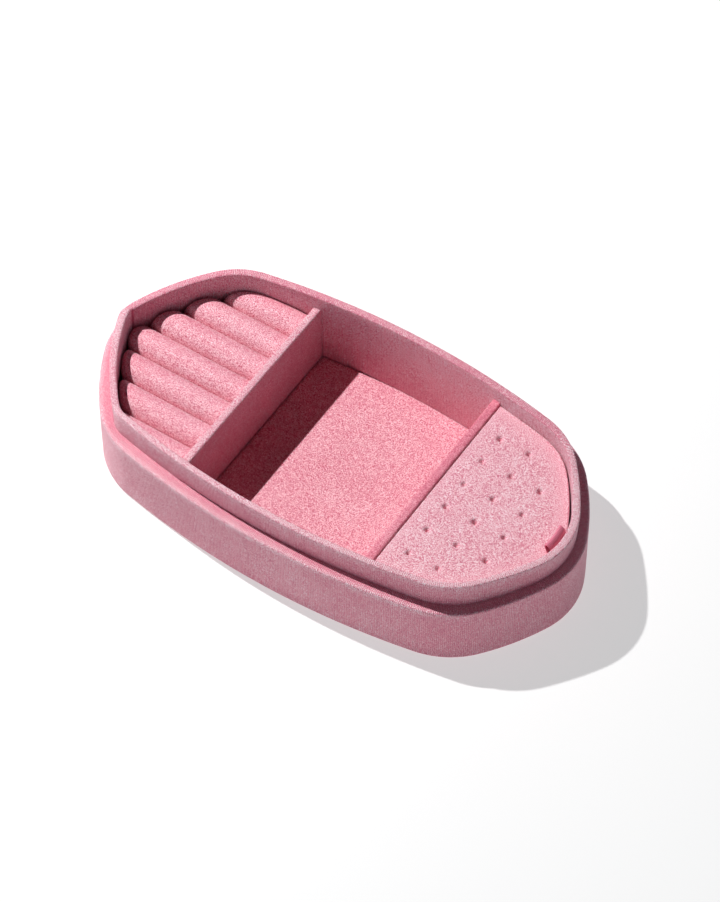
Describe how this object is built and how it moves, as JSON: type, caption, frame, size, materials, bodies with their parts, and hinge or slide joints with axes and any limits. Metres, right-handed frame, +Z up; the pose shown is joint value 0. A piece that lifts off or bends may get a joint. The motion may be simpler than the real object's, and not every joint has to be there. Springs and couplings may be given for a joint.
{
  "type": "jewelry box",
  "caption": "Open velvet-covered box with a bowed hexagonal outline, a lid ledge, ring rolls, a middle bay and a lift-out earring pad.",
  "frame": {"origin": "middle of the underside, on the surface that the box stands on", "axes": "+X along the box towards its earring pad, +Y to the far long side, +Z up"},
  "size_m": [0.23, 0.1236, 0.043],
  "materials": {
    "velvet": "matte",
    "board": "matte",
    "foam": "matte",
    "ribbon": "satin",
    "base_sheet": "matte"
  },
  "bodies": {
    "box": {"base_sheet": "base_sheet", "base_board": "board", "shell_wall": "board", "shell_cover": "velvet", "liner_wall": "board", "liner_cover": "velvet", "tall_divider_board": "board", "tall_divider_cover": "velvet", "low_divider_board": "board", "low_divider_cover": "velvet", "floor_card": "board", "floor_velvet": "velvet", "ring_riser": "foam", "ring_roll_1": "foam", "ring_roll_2": "foam", "ring_roll_3": "foam", "ring_roll_4": "foam", "ring_roll_5": "foam", "ring_roll_6": "foam", "ring_roll_7": "foam", "ring_roll_cover_1": "velvet", "ring_roll_cover_2": "velvet", "ring_roll_cover_3": "velvet", "ring_roll_cover_4": "velvet", "ring_roll_cover_5": "velvet", "ring_roll_cover_6": "velvet", "ring_roll_cover_7": "velvet", "pad_support": "board", "hidden_floor_card": "board", "hidden_floor_velvet": "velvet"},
    "earring_pad": {"pad_board": "board", "pad_foam": "foam", "pad_cover": "velvet", "pull_tab": "ribbon"}
  },
  "joints": [
    {"name": "pad_lift", "type": "slide", "parent": "box", "child": "earring_pad", "axis": [0, 0, 1], "range_m": [0, 0.04]}
  ]
}
